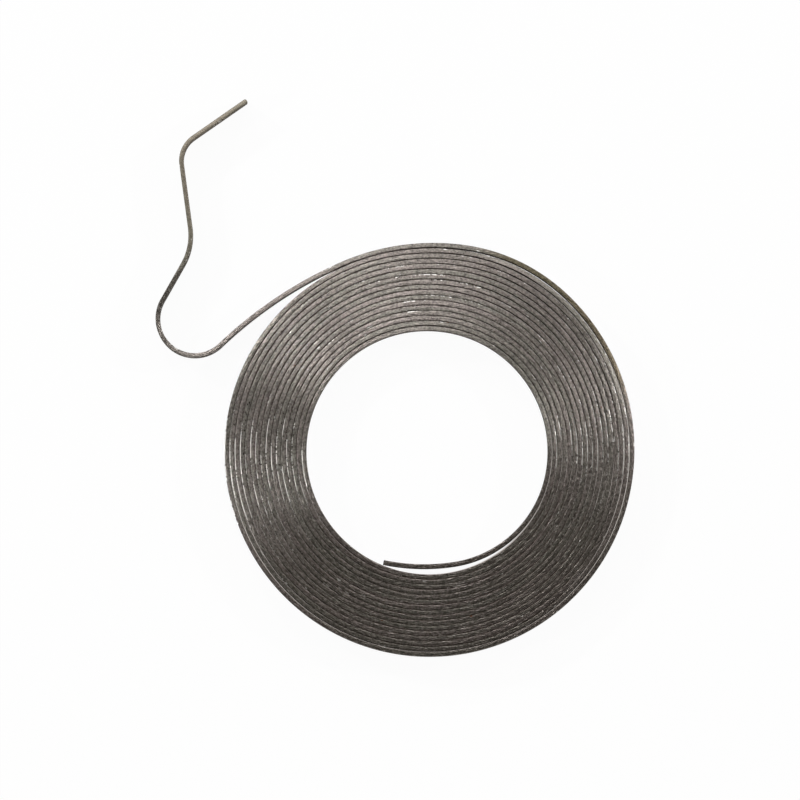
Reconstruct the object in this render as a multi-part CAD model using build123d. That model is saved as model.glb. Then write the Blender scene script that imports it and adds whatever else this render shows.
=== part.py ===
from build123d import *
import os

# A flat spiral spring of strip steel, wound close, with a hook formed in its free outer end.
# The strip stands on its long edge, so the coil lies flat: its axis is Z and its underside is z = 0.
# Lengths are in millimetres and angles in degrees. A bend's radius is that of the strip's middle line.

# The strip and its even winding
strip_thickness = 0.46
strip_width = 4.0
turn_gap = 0.055
bore_radius = 12.06
half_turns = 32
start_direction = -12.0

# The inner end stands off the bore: it curls in, then runs flatter to its cut end
curl_tighter = 1.06
curl_angle = 69.3
end_flatter = 7.6
end_angle = 20.5

# The outermost turn is sprung: it eases off the coil, swells, and leaves it again
ease_flatter = 0.87
ease_angle = 60.0
swell_tighter = 1.91
swell_angle = 34.5
leave_flatter = 2.78
leave_angle = 31.7

# The hook: a long arm, the bend that goes round a post, and a cranked tongue to the free tip
arm_radius = 42.2
arm_angle = 19.5
hook_radius = 3.70
hook_angle = 163.3
shank_length = 4.10
crank_radius = 5.94
crank_angle = 37.3
tongue_length = 6.34
tip_radius = 2.82
tip_angle = 62.9
tip_length = 6.28

pitch = strip_thickness + turn_gap
half_thickness = strip_thickness / 2
first_radius = bore_radius + half_thickness
last_radius = first_radius + (half_turns - 1) * pitch / 2


class StripSide:
    """One side of the strip, laid arc after arc; offset is how far it runs left of the middle line."""

    def __init__(self, start, heading, offset):
        self.tangent = Vector(1, 0).rotate(Axis.Z, heading)
        self.end = start + self.tangent.rotate(Axis.Z, 90) * offset
        self.offset = offset
        self.edges = []

    def add(self, edge):
        self.edges.append(edge)
        self.end = edge @ 1
        self.tangent = edge % 1

    def bend(self, radius, turn):
        """A positive turn goes left, so the side on the left has the smaller radius."""
        side_radius = radius - self.offset if turn > 0 else radius + self.offset
        self.add(JernArc(self.end, self.tangent, side_radius, turn))

    def leg(self, length):
        self.add(Line(self.end, self.end + self.tangent * length))


def coil_start():
    """The first half turn's centre lies a quarter of the pitch behind the axis."""
    outwards = Vector(1, 0).rotate(Axis.Z, start_direction)
    return outwards * (first_radius - pitch / 4)


def inner_side(offset):
    """The inner end, laid from the start of the winding back to the cut end."""
    side = StripSide(coil_start(), start_direction - 90, -offset)
    side.bend(first_radius - curl_tighter, -curl_angle)
    side.bend(first_radius + end_flatter, -end_angle)
    return side


def outer_side(offset):
    """The winding, the sprung outermost turn and the hook, laid outwards to the free tip."""
    side = StripSide(coil_start(), start_direction + 90, offset)
    for half in range(half_turns):
        side.bend(first_radius + half * pitch / 2, 180)
    side.bend(last_radius + ease_flatter, ease_angle)
    side.bend(last_radius - swell_tighter, swell_angle)
    side.bend(last_radius + leave_flatter, leave_angle)
    side.bend(arm_radius, arm_angle)
    side.bend(hook_radius, -hook_angle)
    side.leg(shank_length)
    side.bend(crank_radius, crank_angle)
    side.leg(tongue_length)
    side.bend(tip_radius, -tip_angle)
    side.leg(tip_length)
    return side


def strip_outline():
    """Both sides of the strip, closed by the square inner cut and the rounded nose of the tip."""
    left_end = inner_side(half_thickness)
    right_end = inner_side(-half_thickness)
    left = outer_side(half_thickness)
    right = outer_side(-half_thickness)
    cut = Line(left_end.end, right_end.end)
    nose = JernArc(left.end, left.tangent, half_thickness, -180)
    return [cut, nose] + left_end.edges + right_end.edges + left.edges + right.edges


def make_spring():
    face = make_face(strip_outline())
    return extrude(face, strip_width, dir=(0, 0, 1))


os.makedirs("parts", exist_ok=True)
spring = make_spring()
spring.label = "spiral_spring"
export_step(spring, "parts/spiral_spring.step")
middle_length = spring.volume / strip_thickness / strip_width
print(f"strip length about {middle_length:.0f} mm, size {spring.bounding_box().size}")
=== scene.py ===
# %% [markdown]
# # A flat spiral spring of strip steel
# A feeder spring is one long steel strip, wound flat round itself like a clock spring.
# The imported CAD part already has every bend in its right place, with square edges on the strip.
# This lesson dresses it: the same bends, edges rounded as a rolled strip has them,
# satin steel with its grain and stains, and the light that the photograph was taken in.

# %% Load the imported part
import math

import bpy
import numpy as np
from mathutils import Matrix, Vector


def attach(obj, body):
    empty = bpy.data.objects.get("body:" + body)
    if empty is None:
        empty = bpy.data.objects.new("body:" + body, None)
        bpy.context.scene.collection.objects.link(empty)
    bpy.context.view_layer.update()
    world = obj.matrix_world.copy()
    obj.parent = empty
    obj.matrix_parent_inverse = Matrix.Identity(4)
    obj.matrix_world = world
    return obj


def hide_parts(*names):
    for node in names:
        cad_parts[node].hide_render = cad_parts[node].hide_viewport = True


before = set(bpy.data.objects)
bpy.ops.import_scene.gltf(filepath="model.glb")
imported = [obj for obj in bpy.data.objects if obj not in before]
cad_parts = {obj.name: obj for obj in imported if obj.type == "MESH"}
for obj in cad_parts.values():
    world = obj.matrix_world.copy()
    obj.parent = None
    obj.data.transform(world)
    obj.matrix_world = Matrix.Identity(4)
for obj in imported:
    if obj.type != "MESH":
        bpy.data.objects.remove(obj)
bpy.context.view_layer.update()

MM = 0.001

# %% [markdown]
# ## The strip's middle line
# Every bend of the spring is an arc of a circle, and every leg is straight, so a list of lengths
# and turns says the whole route. A spline through points could come close, but arcs keep the even
# gap between the turns: half turns whose radius grows by half the pitch are a spiral whose sides
# never meet.

# %% Name the sizes, in millimetres and degrees
THICKNESS = 0.46
WIDTH = 4.0
TURN_GAP = 0.055
BORE_RADIUS = 12.06
HALF_TURNS = 32
START_DIRECTION = -12.0

PITCH = THICKNESS + TURN_GAP
FIRST_RADIUS = BORE_RADIUS + THICKNESS / 2
LAST_RADIUS = FIRST_RADIUS + (HALF_TURNS - 1) * PITCH / 2
print(f"the winding's radius grows from {FIRST_RADIUS:.2f} to {LAST_RADIUS:.2f} mm")


# %% List the bends from the inner cut end to the free tip
def bend(radius, angle):
    """An arc's length is its radius times its turn; a positive angle turns left."""
    turn = math.radians(angle)
    return radius * abs(turn), turn


def leg(length):
    """A straight leg turns by nothing."""
    return length, 0.0


# Near the winding, a bend's radius is given by how much flatter or tighter it is than the winding.
inner_end = [bend(FIRST_RADIUS + 7.6, 20.5), bend(FIRST_RADIUS - 1.06, 69.3)]
winding = [bend(FIRST_RADIUS + half * PITCH / 2, 180) for half in range(HALF_TURNS)]
ease, swell, leave = (0.87, 60.0), (-1.91, 34.5), (2.78, 31.7)
sprung_turn = [bend(LAST_RADIUS + flatter, angle) for flatter, angle in (ease, swell, leave)]
arm_and_hook = [bend(42.2, 19.5), bend(3.70, -163.3)]
tongue = [leg(4.10), bend(5.94, 37.3), leg(6.34), bend(2.82, -62.9), leg(6.28)]
route = inner_end + winding + sprung_turn + arm_and_hook + tongue
bend_lengths, bend_turns = np.array(route).T
print(f"{len(route)} bends and legs, {bend_lengths.sum():.0f} mm of strip")


# %% Lay the bends one after another
def chord(lengths, turns, headings):
    """An arc of length L that turns by t from heading h ends L times sin(t/2)/(t/2) away,
    in the direction h + t/2."""
    middle = headings + turns / 2
    reach = lengths * np.sinc(turns / 2 / math.pi)
    return reach[:, None] * np.column_stack([np.cos(middle), np.sin(middle)])


def unit(angle):
    """The point on the unit circle in that direction: its cosine and its sine."""
    return np.array([math.cos(angle), math.sin(angle)])


before_coil = len(inner_end)
coil_heading = math.radians(START_DIRECTION + 90)
turned_before = np.cumsum(bend_turns) - bend_turns
bend_headings = coil_heading + turned_before - turned_before[before_coil]
bend_chords = chord(bend_lengths, bend_turns, bend_headings)
bend_starts = np.cumsum(bend_chords, axis=0) - bend_chords
coil_start = unit(coil_heading - math.pi / 2) * (FIRST_RADIUS - PITCH / 4)
bend_starts = bend_starts - bend_starts[before_coil] + coil_start
print(f"the winding starts at {coil_start.round(2)} mm")

# %% Sample the middle line, closely where it bends
STEP_TURN = math.radians(1.45)
STEP_LENGTH = 1.2

leg_steps = bend_lengths / STEP_LENGTH * (bend_turns == 0)
steps = np.ceil(np.abs(bend_turns) / STEP_TURN + leg_steps).astype(int)
first_step = np.cumsum(steps) - steps
owner = np.append(np.repeat(np.arange(len(steps)), steps), len(steps) - 1)
share = (np.arange(len(owner)) - first_step[owner]) / steps[owner]
bend_begins = np.cumsum(bend_lengths) - bend_lengths
part_length, part_turn = share * bend_lengths[owner], share * bend_turns[owner]
along = bend_begins[owner] + part_length
heading = bend_headings[owner] + part_turn
middle_line = bend_starts[owner] + chord(part_length, part_turn, bend_headings[owner])
print(f"{len(along)} samples from {middle_line[0].round(2)} to {middle_line[-1].round(2)} mm")

# %% [markdown]
# ## The strip's section and the swept surface
# Strip for a power spring has dressed long edges: nearly flat, with the corners rounded. A Bevel
# modifier would round them too, but it would also work on the two ends, and it couldn't round the
# outer corner more than the inner one, as winding and wear do. So the section is a formula, carried
# along the middle line as one grid. Winding also leaves the edge leaning a little outwards, and
# past the hook's bend it leans to the other side.

# %% Write the section
EDGE_HEIGHT = 0.08
OUTER_SQUARE = 0.40
INNER_SQUARE = 0.18
LEAN_SLOPE = 0.19
UNEVEN = 0.04
HALF_THICK = THICKNESS / 2
LEAN_REACH = LEAN_SLOPE * HALF_THICK
TOP_ANGLES = np.radians([0, 4, 17, 42, 60, 90, 120, 138, 163, 176, 180])
LOW_ANGLES = np.radians([180, 170, 138, 90, 42, 10, 0])


def edge(angles):
    """x is the cosine and y the sine, both to a small power.
    The smaller the power, the flatter the top and the tighter the corner."""
    square = np.where(np.cos(angles) > 0, OUTER_SQUARE, INNER_SQUARE)
    across = np.sign(np.cos(angles)) * np.abs(np.cos(angles)) ** square * HALF_THICK
    crest = np.abs(np.sin(angles)) ** square
    return across, crest


top_across, top_crest = edge(TOP_ANGLES)
low_across, low_crest = edge(LOW_ANGLES)
top_height = WIDTH - UNEVEN - LEAN_REACH - EDGE_HEIGHT + EDGE_HEIGHT * top_crest
low_height = LEAN_REACH + EDGE_HEIGHT - EDGE_HEIGHT * low_crest
section_across = np.concatenate([top_across, low_across])
section_crest = np.concatenate([top_crest, low_crest])
section_height = np.concatenate([top_height, low_height])
section_lean = -LEAN_SLOPE * section_across * section_crest
step_across = np.diff(section_across, append=section_across[0])
step_up = np.diff(section_height, append=section_height[0])
side_steps = np.hypot(step_across, step_up)
girth = side_steps.sum()
print(f"{len(section_across)} points round the section, {girth:.2f} mm round")


# %% Let the turns lie a little unevenly
def soft_step(value, low, high):
    """With p as the part of the way from low to high, it is p squared times (3 - 2 p):
    0 up to low, 1 from high on, and level at both ends."""
    part = np.clip((value - low) / (high - low), 0, 1)
    return part * part * (3 - 2 * part)


WANDER = 0.0026
SLACK = 0.03
FILLING = 0.108
FILLED_AFTER = 75
LOOSE_FROM = 260
LOOSE_AFTER = 130
TURN_OVER = 1.7
coil_begins = bend_begins[before_coil]
coil_ends = bend_begins[before_coil + HALF_TURNS]
hook_ends = bend_begins[before_coil + HALF_TURNS + 5]
tongue_begins = bend_begins[before_coil + HALF_TURNS + 7]
tail = soft_step(along, hook_ends, tongue_begins)
filling = soft_step(along, coil_begins, coil_begins + FILLED_AFTER)
loosening = soft_step(along, coil_ends - LOOSE_FROM, coil_ends - LOOSE_AFTER)
in_coil = filling - loosening
waves = np.sin(along / 5.9) + np.sin(along / 3.3 + 1.0) + np.sin(along / 1.2 + 2.0)
wander = WANDER * in_coil * waves
fullness = 1 - SLACK + FILLING * in_coil
lift = UNEVEN / 2 * (1 + np.sin(along / 4.7 + 2.0) * np.sin(along / 31.0))
lean = 1 - TURN_OVER * tail
print(f"the strip is {fullness.min():.2f} to {fullness.max():.2f} times as thick as the CAD part's")


# %% Spread the outer turns towards the north-east, where the sprung turn stands off them
def between(angle, rise, fall):
    """A soft step up over the rise less a soft step up over the fall."""
    return soft_step(angle, *rise) - soft_step(angle, *fall)


SPREAD = 0.362
SPREAD_LENGTH = 1000.0
direction = np.degrees(np.arctan2(middle_line[:, 1], middle_line[:, 0]))
full_direction = direction % 360
towards = between(direction, (-5, 68), (62, 98))
outer_share = np.clip((along - coil_ends) / SPREAD_LENGTH + 1, 0, 1) * (along < coil_ends)
wander = wander + SPREAD * towards * outer_share
print(f"the turns wander by {wander.min():.2f} to {wander.max():.2f} mm")

# %% Say where the strip has painted light, a darker olive, painted glints, and turns pressed together
PAINTED_HIGHLIGHT_TURN = 0.9
PAINTED_LIGHT_TAIL = 0.35
LESS_LEAN = 0.4
GLINTS_AND_PRESSING_AFTER = 40
north_east = between(direction, (5, 30), (62, 82))
last_turn = (along > coil_ends - 2 * math.pi * LAST_RADIUS) & (along <= coil_ends)
sprung = along > coil_ends
# Positive values are painted light: a painted highlight on the last turn in the north-east and a
# lighter tail past the hook. Negative values make the sprung turn there darker and more olive.
painted_light_and_darkening = north_east * (last_turn * PAINTED_HIGHLIGHT_TURN - sprung) + tail * PAINTED_LIGHT_TAIL

wound = soft_step(along, coil_begins, coil_begins + GLINTS_AND_PRESSING_AFTER) * (along < coil_ends)
# The east and west zones are where worn dashes are multiplied as painted glints.
glint_zone_east = between(direction, (-14, -2), (8, 24))
glint_zone_west = between(full_direction, (160, 183), (195, 209))
glint_zones = (glint_zone_east + glint_zone_west) * wound

pressed_east = between(direction, (22, 45), (54, 78))
pressed_west = between(full_direction, (146, 160), (184, 204))
pressed = (pressed_east + pressed_west) * wound
lean = lean - LESS_LEAN * pressed
# The worn share printed here is the share of samples in the painted glint zones.
print(f"{np.mean(glint_zones > 0.5):.0%} of the samples are worn, {np.mean(pressed > 0.5):.0%} pressed")

# %% Add the rounded nose of the free tip
NOSE_ANGLES = np.radians([18, 36, 54, 68, 78])

nose_reach = np.sin(NOSE_ANGLES) * HALF_THICK
line = np.vstack([middle_line, middle_line[-1] + np.outer(nose_reach, unit(heading[-1]))])
narrowing = np.append(fullness, np.cos(NOSE_ANGLES))
run = np.append(along, along[-1] + nose_reach)
per_ring_values = (heading, wander, lift, lean, painted_light_and_darkening, glint_zones, pressed)
longer = [np.pad(values, (0, len(NOSE_ANGLES)), mode="edge") for values in per_ring_values]
heading, wander, lift, lean, painted_light_and_darkening, glint_zones, pressed = longer
print(f"the nose adds {nose_reach[-1]:.2f} mm")


# %% Sweep the section along the line
def sweep():
    """A ring's points are the line's point, plus their distance across the strip to the right of
    travel, and their height."""
    right = np.column_stack([np.sin(heading), -np.cos(heading)])
    across = section_across * narrowing[:, None] + wander[:, None]
    plan = line[:, None, :] + across[:, :, None] * right[:, None, :]
    height = section_height + lift[:, None] + lean[:, None] * section_lean
    return np.dstack([plan, height])


points = sweep()
rings, per_ring = points.shape[:2]
print(f"{rings} rings make {2 * (rings - 1) * per_ring} triangles")


# %% Join the rings with faces and close both ends
SHARP_ANGLE = math.radians(50)


def ring_faces():
    """The face between ring i and i + 1 joins point j with the next point round the ring."""
    ring = np.arange(rings - 1)[:, None] * per_ring
    here = np.arange(per_ring)
    after = (here + 1) % per_ring
    corners = [ring + here, ring + per_ring + here, ring + per_ring + after, ring + after]
    return np.stack(corners, axis=2).reshape(-1, 4)


def put_in_mesh(name):
    """The rings' faces and one face over each end, smooth but for the sharp corners."""
    mesh = bpy.data.meshes.new(name)
    start_cap = list(range(per_ring))
    end_cap = [(rings - 1) * per_ring + j for j in reversed(range(per_ring))]
    faces = ring_faces().tolist() + [start_cap, end_cap]
    mesh.from_pydata((points * MM).reshape(-1, 3), [], faces)
    mesh.shade_smooth()
    mesh.set_sharp_from_angle(angle=SHARP_ANGLE)
    strip = bpy.data.objects.new(name, mesh)
    bpy.context.scene.collection.objects.link(strip)
    return strip


def enclosed_volume():
    """A sixth of the sum over the faces of the first corner times the diagonals' cross product."""
    first, second, third, fourth = points.reshape(-1, 3)[ring_faces()].transpose(1, 0, 2)
    return np.einsum("ij,ij->", first, np.cross(third - first, fourth - second)) / 6


strip = put_in_mesh("spring_strip")
print(f"closed volume {enclosed_volume():.0f} mm3, positive because the faces point outwards")

# %% [markdown]
# ## Where the surface is on the strip
# Grain, streaks and stains on strip steel follow the strip and not the room, so the material has
# to know how far along the strip a point lies, how far across, and how high. Those three numbers go
# into the mesh as attributes. A UV map lays the long strip in rows, side by side, so that one
# square picture can hold all of it when it is baked.


# %% Store the place on the strip, and what kind of place it is
def store(name, kind, values):
    layer = strip.data.attributes.new(name, kind, "POINT")
    field = "vector" if kind == "FLOAT_VECTOR" else "value"
    layer.data.foreach_set(field, np.ascontiguousarray(values, dtype=np.float32).ravel())


shape = (rings, per_ring)
far_along = np.broadcast_to(run[:, None], shape)
far_across = np.broadcast_to(section_across, shape)
store("strip_place", "FLOAT_VECTOR", np.dstack([far_along, far_across, points[:, :, 2]]))
store("crest", "FLOAT", np.broadcast_to(section_crest, shape))
for name, values in (("painted_light_and_darkening", painted_light_and_darkening), ("glint_zones", glint_zones), ("pressed", pressed)):
    store(name, "FLOAT", np.broadcast_to(values[:, None], shape))
print(f"each of {rings * per_ring} points knows its place, crest, finish, wear and pressing")

# %% Lay the strip in rows on its UV map
ROWS = 14
GUTTER = 1.05
CAP_CORNER = 0.985
CAP_SHIFT = 0.005
CAP_SHRINK = 1000


def row_map():
    """u is the way along within a row, and v is the row plus the way round the strip."""
    row_length = run[-1] / ROWS
    row = np.minimum(run[:-1] // row_length, ROWS - 1)[:, None]
    u_here = (run[:-1, None] / row_length - row) / GUTTER
    u_next = (run[1:, None] / row_length - row) / GUTTER
    around = np.concatenate([[0], np.cumsum(side_steps)]) / girth / GUTTER
    v_here, v_next = (row + around[:-1]) / ROWS, (row + around[1:]) / ROWS
    u_here, u_next = (np.broadcast_to(u, v_here.shape) for u in (u_here, u_next))
    pairs = ((u_here, v_here), (u_next, v_here), (u_next, v_next), (u_here, v_next))
    return np.stack([np.stack(pair, axis=2) for pair in pairs], axis=2).reshape(-1, 2)


cap_map = np.column_stack([section_across, section_height]) / CAP_SHRINK + CAP_CORNER
row_uv = np.vstack([row_map(), cap_map, cap_map[::-1] - CAP_SHIFT])
uv_layer = strip.data.uv_layers.new(name="strip_rows")
uv_layer.uv.foreach_set("vector", row_uv.astype(np.float32).ravel())
print(f"UV map from {row_uv.min(0).round(3)} to {row_uv.max(0).round(3)}")

# %% [markdown]
# ## Writing a material as sums
# Shader nodes are easier to read as arithmetic. A small class stands for one value on its way
# through the nodes, and adding or multiplying it adds the Math node that does so. Every other node
# comes from one method.


# %% Values and nodes
class Value:
    """One output of a node. Arithmetic on it adds Math nodes."""

    def __init__(self, nodes, socket):
        self.nodes = nodes
        self.socket = socket

    def math(self, operation, first, second):
        return self.nodes.add("ShaderNodeMath", {"operation": operation}, {0: first, 1: second})

    def __add__(self, other):
        return self.math("ADD", self, other)

    def __sub__(self, other):
        return self.math("SUBTRACT", self, other)

    def __rsub__(self, other):
        return self.math("SUBTRACT", other, self)

    def __mul__(self, other):
        return self.math("MULTIPLY", self, other)

    __radd__ = __add__
    __rmul__ = __mul__


class Nodes:
    """The nodes of one material or of the world."""

    def __init__(self, owner):
        owner.use_nodes = True
        self.tree = owner.node_tree
        self.tree.nodes.clear()

    def add(self, kind, settings=None, sockets=None, output=0):
        """A node of that type: its settings come first, then the values or links of its sockets."""
        node = self.tree.nodes.new(kind)
        for name, value in (settings or {}).items():
            setattr(node, name, value)
        for key, value in (sockets or {}).items():
            if isinstance(value, Value):
                self.tree.links.new(value.socket, node.inputs[key])
            else:
                node.inputs[key].default_value = value
        return Value(self, node.outputs[output]) if node.outputs else node

    def attribute(self, name, output="Fac"):
        """What the mesh stores under that name."""
        return self.add("ShaderNodeAttribute", {"attribute_name": name}, {}, output)

    def mix(self, factor, first, second, blend="MIX"):
        """A colour between two others, or their product at a factor of 1 with MULTIPLY."""
        settings = {"data_type": "RGBA", "blend_type": blend}
        return self.add("ShaderNodeMix", settings, {0: factor, 6: first, 7: second}, 2)

    def noise(self, place, stretch, detail, offset):
        """Soft random patches; stretch says how many fit in a millimetre along, across and up."""
        mapping = {"Vector": place, "Scale": stretch, "Location": offset}
        spot = self.add("ShaderNodeMapping", {}, mapping)
        sockets = {"Vector": spot, "Scale": 1.0, "Detail": detail, "Roughness": 0.55}
        return self.add("ShaderNodeTexNoise", {}, sockets)

    def ramp(self, value, low, high):
        """Rises smoothly from 0 at low to 1 at high."""
        limits = {"Value": value, "From Min": low, "From Max": high}
        return self.add("ShaderNodeMapRange", {"interpolation_type": "SMOOTHSTEP"}, limits)


print("two classes: Value for arithmetic, and Nodes for every other node")

# %% [markdown]
# ## Spring steel
# The faces of spring strip keep a dark skin from hardening and a film of oil, and the dressed
# edges are rubbed bright. So the colour goes from a dark face and inner corner to a brighter crest,
# broken by a fine speckle and by streaks along the strip. The outer corner is worn to bare steel in
# short dashes, and the many more of them in the east and the west are painted glints. The sprung
# turn is made darker and more olive in the north-east, and the turn inside it gets a painted
# highlight. Past the hook the strip is more even and painted lighter, under a yellowish film of
# oil.
# A few specks on the edges are bare, and a few anywhere are rusty. Fine scratches along the strip
# are a bump, too small to be worth any geometry.

# %% Mix the steel
BRIGHT_EDGE = (0.2330, 0.2125, 0.2000, 1)
DARK_FACE = (0.090, 0.070, 0.057, 1)
BARE_STEEL = (0.80, 0.785, 0.75, 1)
OLIVE_DARKENING = (0.72, 0.68, 0.52, 1)
OILED = (0.98, 0.97, 0.86, 1)
OLIVE = (0.97, 1.0, 0.94, 1)
BROWN = (1.02, 0.985, 0.97, 1)
RUST = (0.15, 0.065, 0.03, 1)
SCRATCH_DEPTH = 0.06


def spring_steel():
    material = bpy.data.materials.new("satin_spring_steel")
    nodes = Nodes(material)
    noise, ramp, mix = nodes.noise, nodes.ramp, nodes.mix
    place = nodes.attribute("strip_place", "Vector")
    crest, painted_light_and_darkening = nodes.attribute("crest"), nodes.attribute("painted_light_and_darkening")
    glint_zones, pressed = nodes.attribute("glint_zones"), nodes.attribute("pressed")
    along_strip = nodes.add("ShaderNodeSeparateXYZ", {}, {"Vector": place}, "X")
    across = nodes.add("ShaderNodeSeparateXYZ", {}, {"Vector": place}, "Y")
    past_hook = ramp(along_strip, float(hook_ends), float(tongue_begins))

    scratches = noise(place, (2.2, 9.0, 9.0), 2.0, (5, 1, 8))
    speckle = ramp(noise(place, (4.2, 5.5, 5.5), 2.0, (0, 0, 0)), 0.3, 0.7)
    streaks = noise(place, (0.12, 9.0, 6.0), 3.0, (7, 3, 5))
    patches = noise(place, (0.05, 1.5, 0.8), 2.0, (2, 9, 4))
    bare = ramp(noise(place, (0.9, 3.0, 3.0), 2.0, (11, 13, 6)), 0.70, 0.76)
    rust_spots = ramp(noise(place, (1.1, 2.4, 2.4), 1.0, (31, 17, 3)), 0.80, 0.84)

    # Skin covers the faces and the inner corner, less so where the turns are pressed together.
    inner_corner = 1 - ramp(across, -0.97 * HALF_THICK, -0.80 * HALF_THICK)
    inner_skin = inner_corner * (0.8 - pressed * 0.75)
    rubbed = ramp(crest + (speckle - 0.5) * 0.2, 0.15, 0.75) * (1 - inner_skin)
    skin = 1 - rubbed

    # Dashes of bare steel lie on the outer corner; the many more in the east and west are painted
    # glints.
    outer_corner = ramp(across, 0.5 * HALF_THICK, 0.68 * HALF_THICK) * ramp(crest, 0.5, 0.68)
    dashes = noise(place, (0.30, 0.1, 0.1), 3.0, (3, 2, 19)) + (speckle - 0.5) * 0.12
    worn_dashes_and_glints = ramp(dashes + glint_zones * 0.21 - pressed * 0.01, 0.635, 0.70) * outer_corner

    # The colour is that of skin or crest, times its tints and one grey tone.
    steel = mix(rubbed, DARK_FACE, BRIGHT_EDGE)
    steel = mix(1.0, steel, mix(ramp(patches, 0.35, 0.65), OLIVE, BROWN), "MULTIPLY")
    # The sprung turn in the north-east is made darker and more olive.
    steel = mix(ramp(painted_light_and_darkening, 0, -1), steel, mix(1.0, steel, OLIVE_DARKENING, "MULTIPLY"))
    steel = mix(past_hook, steel, mix(1.0, steel, OILED, "MULTIPLY"))
    speckled = speckle * (0.66 - past_hook * 0.36) + past_hook * 0.18
    # The painted light raises the tone on the last turn in the north-east and on the tail.
    tone = 0.32 + speckled + streaks * 0.4 + patches * 0.3 + ramp(painted_light_and_darkening, 0, 1) * 0.6
    grey = nodes.add("ShaderNodeCombineColor", {}, {0: tone, 1: tone, 2: tone})
    steel = mix(1.0, steel, grey, "MULTIPLY")
    # Bare specks and worn dashes take bare steel; the dashes in the east and the west are painted
    # glints.
    steel = mix(bare * rubbed + worn_dashes_and_glints, steel, BARE_STEEL)
    colour = mix(rust_spots, steel, RUST)

    duller = rust_spots * 0.3 + skin * 0.4 + past_hook * 0.14
    roughness = 0.25 + speckle * 0.06 + streaks * 0.06 + duller
    height = (scratches + speckle * 0.05) * (1 - past_hook * 0.8)
    relief = {"Height": height, "Distance": SCRATCH_DEPTH * MM, "Strength": 1.0}
    bump = nodes.add("ShaderNodeBump", {}, relief)
    sockets = {"Base Color": colour, "Roughness": roughness, "Metallic": 1.0, "Normal": bump}
    shader = nodes.add("ShaderNodeBsdfPrincipled", {}, sockets)
    nodes.add("ShaderNodeOutputMaterial", {}, {"Surface": shader})
    return material


strip.data.materials.append(spring_steel())
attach(strip, "root")
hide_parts("spiral_spring")
print(f"{len(strip.active_material.node_tree.nodes)} nodes in {strip.active_material.name}")

# %% [markdown]
# ## The floor and the backdrop
# The photograph's background is plain white. A lit white floor never comes out quite white, so the
# floor and the low wall round it show plain white to the camera and in reflections, and the floor
# keeps a little of its own shading for the spring's shadow. Under the winding the floor's white is
# dimmer and warmer as painted shade, because little light comes back out of the narrow gaps.

# %% Make the white stage
FLOOR_SHADOW = 0.04
UNDER_COIL_WARM_SHADE = (1.0, 0.93, 0.87, 1)
PAPER = (0.9, 0.9, 0.9, 1)
UNDER_COIL_FROM = (12.2, 12.3)
UNDER_COIL_TO = (20.3, 20.4)
UNDER_COIL_PAINTED_SHADE = 0.5


def white_card(name, shadow):
    """White to the camera and in gloss and glass, less the share that shows real shading, and
    dimmed and warmed under the winding as painted shade.
    """
    material = bpy.data.materials.new(name)
    nodes = Nodes(material)
    camera = nodes.add("ShaderNodeLightPath", {}, {}, "Is Camera Ray")
    glossy = nodes.add("ShaderNodeLightPath", {}, {}, "Is Glossy Ray")
    through = nodes.add("ShaderNodeLightPath", {}, {}, "Is Transmission Ray")
    spot = nodes.add("ShaderNodeTexCoord", {}, {}, "Object")
    out = nodes.add("ShaderNodeVectorMath", {"operation": "LENGTH"}, {0: spot}, "Value")
    within, beyond = (nodes.ramp(out, near * MM, far * MM)
                      for near, far in (UNDER_COIL_FROM, UNDER_COIL_TO))
    under_coil = within - beyond
    # Under the winding the white is dimmed and warmed: painted shade.
    seen = (camera + glossy + through) * (1 - shadow) * (1 - under_coil * UNDER_COIL_PAINTED_SHADE)
    white = nodes.mix(under_coil, (1, 1, 1, 1), UNDER_COIL_WARM_SHADE)
    plain = nodes.add("ShaderNodeEmission", {}, {"Color": white, "Strength": 1.0})
    paper = nodes.add("ShaderNodeBsdfDiffuse", {}, {"Color": PAPER})
    card = nodes.add("ShaderNodeMixShader", {}, {0: seen, 1: paper, 2: plain})
    nodes.add("ShaderNodeOutputMaterial", {}, {"Surface": card})
    return material


def stage_piece(name, corners, faces, material):
    mesh = bpy.data.meshes.new(name)
    mesh.from_pydata(corners, [], faces)
    mesh.materials.append(material)
    piece = bpy.data.objects.new(name, mesh)
    bpy.context.scene.collection.objects.link(piece)


STAGE_RADIUS = 2.5
WALL_HEIGHT = 0.5
FLOOR_LEVEL = -0.02 * MM
SIDES = 64
side = np.arange(SIDES)
next_side = np.roll(side, -1)
around = 2 * math.pi / SIDES * side
rim = np.column_stack([np.cos(around), np.sin(around)]) * STAGE_RADIUS
low_rim = np.column_stack([rim, np.full(SIDES, FLOOR_LEVEL)])
high_rim = np.column_stack([rim, np.full(SIDES, WALL_HEIGHT)])
wall_faces = np.column_stack([side, next_side, next_side + SIDES, side + SIDES]).tolist()
stage_piece("white_floor", low_rim, [side.tolist()], white_card("floor_card", FLOOR_SHADOW))
stage_piece("white_wall", np.vstack([low_rim, high_rim]), wall_faces, white_card("wall_card", 0.0))
print(f"a white floor {2 * STAGE_RADIUS:.0f} m across, with a wall {WALL_HEIGHT} m high")

# %% [markdown]
# ## The light
# The photograph has soft light from its upper side, with smaller sources beside it that run as
# bright streaks across the turns. Each lamp's level is what it would add to a white card that faces
# it.

# %% Hang the lamps
LAMP_DISTANCE = 0.6
KEY = dict(level=0.17, azimuth=93, elevation=64, size=0.22)
STREAK_ELEVATION = 38
STREAK_SIZE = 0.05
STREAK_LEVELS = {80: 0.05, 112: 0.16, 142: 0.32, 46: 0.06, 18: 0.25, 187: 0.17}


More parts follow.
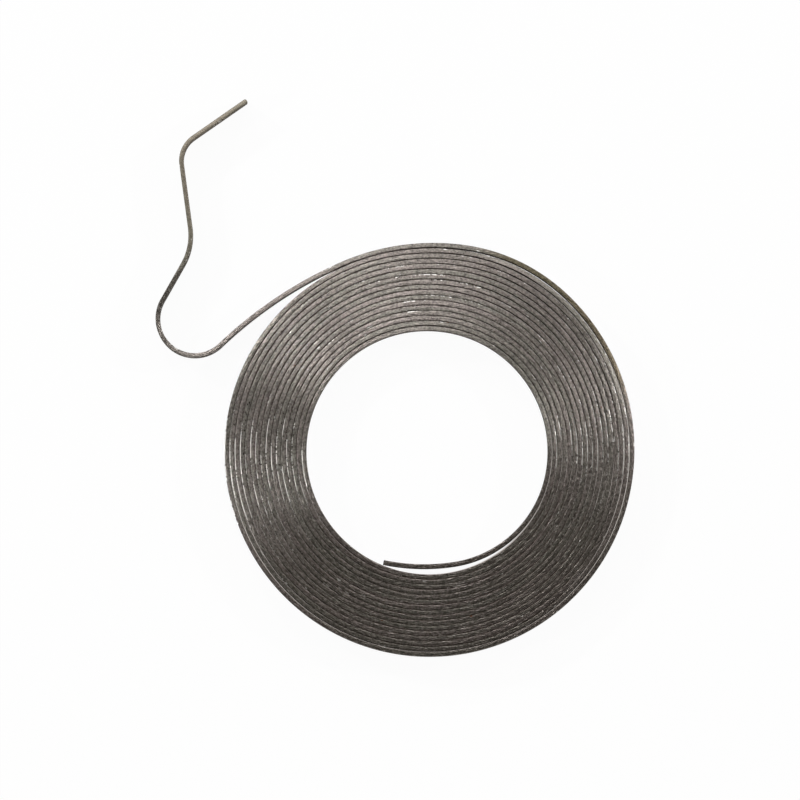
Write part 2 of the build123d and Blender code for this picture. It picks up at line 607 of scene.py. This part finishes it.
def hang_lamp(name, level, azimuth, elevation, size):
    """A card that faces the lamp gets its power / (pi squared times the distance squared)."""
    flat, tall = unit(math.radians(azimuth)), unit(math.radians(elevation))
    lamp = bpy.data.lights.new(name, "AREA")
    lamp.shape = "DISK"
    lamp.size = size
    lamp.energy = level * (math.pi * LAMP_DISTANCE) ** 2
    hung = bpy.data.objects.new(name, lamp)
    hung.location = np.append(flat * tall[0], tall[1]) * LAMP_DISTANCE
    hung.rotation_mode = "QUATERNION"
    hung.rotation_quaternion = (-hung.location).to_track_quat("-Z", "Y")
    hung.visible_camera = False
    bpy.context.scene.collection.objects.link(hung)


hang_lamp("key_lamp", **KEY)
for number, (azimuth, level) in enumerate(STREAK_LEVELS.items()):
    hang_lamp(f"streak_lamp_{number}", level, azimuth, STREAK_ELEVATION, STREAK_SIZE)
print(f"{1 + len(STREAK_LEVELS)} lamps, {LAMP_DISTANCE} m away")

# %% Fill the room with an even light
ROOM_LEVEL = 0.125
ROOM_COLOUR = (1.0, 0.92, 0.84, 1)

world = bpy.data.worlds.new("room")
bpy.context.scene.world = world
room = Nodes(world)
glow = room.add("ShaderNodeBackground", {}, {"Color": ROOM_COLOUR, "Strength": ROOM_LEVEL})
room.add("ShaderNodeOutputWorld", {}, {"Surface": glow})
bpy.context.scene.view_settings.view_transform = "Standard"
print(f"room level {ROOM_LEVEL}")

# %% [markdown]
# ## The camera
# The photograph looks almost straight down from far away, so a long lens is used. Its frame is
# 80 mm square, and the camera stands a little to the south of straight above.

# %% Place the camera
FRAME_SIDE = 80.0
LOOK_AT = np.array([-2.81, 5.12, WIDTH])
CAMERA_DISTANCE = 3000.0
CAMERA_LEAN = math.radians(1.3)
LEAN_DIRECTION = math.radians(-82)

lens = bpy.data.cameras.new("long_lens")
lens.sensor_width = 36.0
lens.lens = lens.sensor_width * CAMERA_DISTANCE / FRAME_SIDE
lens.clip_start = 0.05
lens.clip_end = 20.0
camera = bpy.data.objects.new("camera", lens)
back = np.append(unit(LEAN_DIRECTION) * math.sin(CAMERA_LEAN), math.cos(CAMERA_LEAN))
camera.location = (LOOK_AT + back * CAMERA_DISTANCE) * MM
camera.rotation_euler = Vector((0, 0, 1)).rotation_difference(Vector(back)).to_euler()
bpy.context.scene.collection.objects.link(camera)
bpy.context.scene.camera = camera
print(f"lens {lens.lens:.0f} mm, {CAMERA_DISTANCE * MM:.0f} m away")
